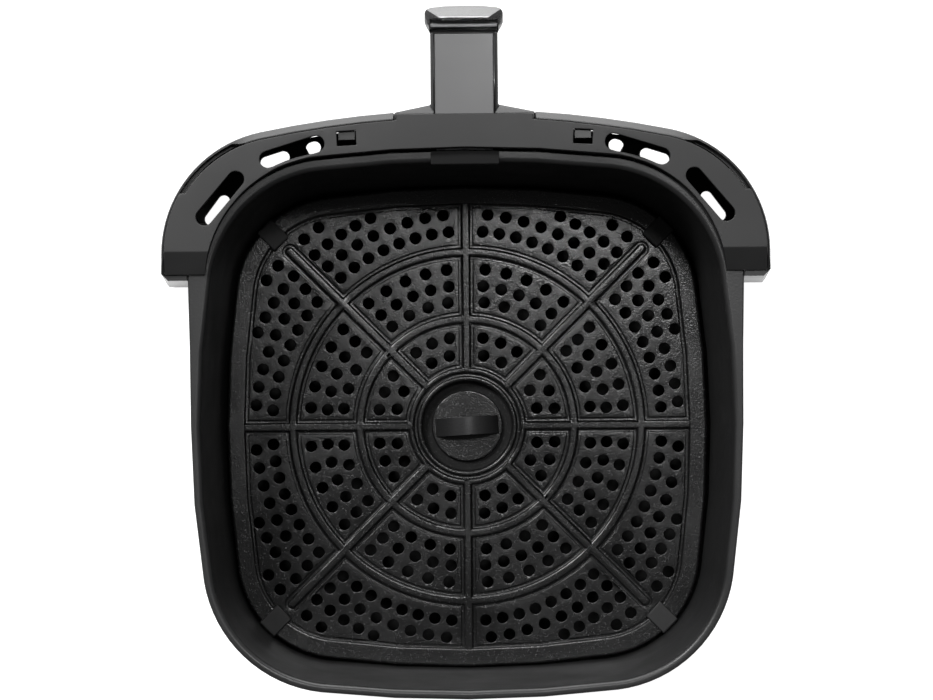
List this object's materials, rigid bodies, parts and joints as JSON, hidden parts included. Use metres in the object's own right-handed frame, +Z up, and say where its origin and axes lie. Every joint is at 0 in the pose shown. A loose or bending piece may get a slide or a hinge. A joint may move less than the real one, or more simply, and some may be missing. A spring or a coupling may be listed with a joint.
{
  "type": "air fryer drawer",
  "caption": "Pull-out air fryer drawer: non-stick pan with a curved plastic front, a fixed front handle and a lift-out perforated crisper plate on silicone bumpers.",
  "frame": {"origin": "middle of the pan's flat underside, which is the face that it stands on", "axes": "+Z up, -Y towards the handle, +X to the right of somebody who looks from the handle's side towards the pan"},
  "size_m": [0.3134, 0.3412, 0.116],
  "materials": {
    "pan_coating": "fine-textured dark non-stick coating, satin",
    "plate_coating": "fine-textured dark non-stick coating, satin",
    "cover_plastic": "smooth dark grey moulding, matte",
    "shell_plastic": "black moulding, satin gloss",
    "insert_plastic": "mid grey moulding, satin",
    "trim_metal": "brushed",
    "steel": "zinc plated",
    "dark_steel": "smooth dark coating, glossy",
    "silicone": "matte dark grey silicone"
  },
  "bodies": {
    "drawer": {"pan": "pan_coating", "pan_bracket": "steel", "top_cover": "cover_plastic", "fascia_shell": "shell_plastic", "bottom_cover": "cover_plastic", "rim_clip": "dark_steel", "handle_body": "shell_plastic", "grip_front": "shell_plastic", "handle_top_insert": "insert_plastic", "handle_trim": "trim_metal", "handle_core": "steel", "handle_screws": "steel", "grip_screws": "steel", "cover_screws": "steel"},
    "crisper": {"crisper_plate": "plate_coating", "hub_disc": "plate_coating", "lift_strap": "dark_steel", "bumper_front_left": "silicone", "bumper_front_right": "silicone", "bumper_rear_left": "silicone", "bumper_rear_right": "silicone"}
  },
  "joints": [
    {"name": "crisper_lift", "type": "slide", "parent": "drawer", "child": "crisper", "axis": [0, 0, 1], "range_m": [0, 0.13]}
  ]
}
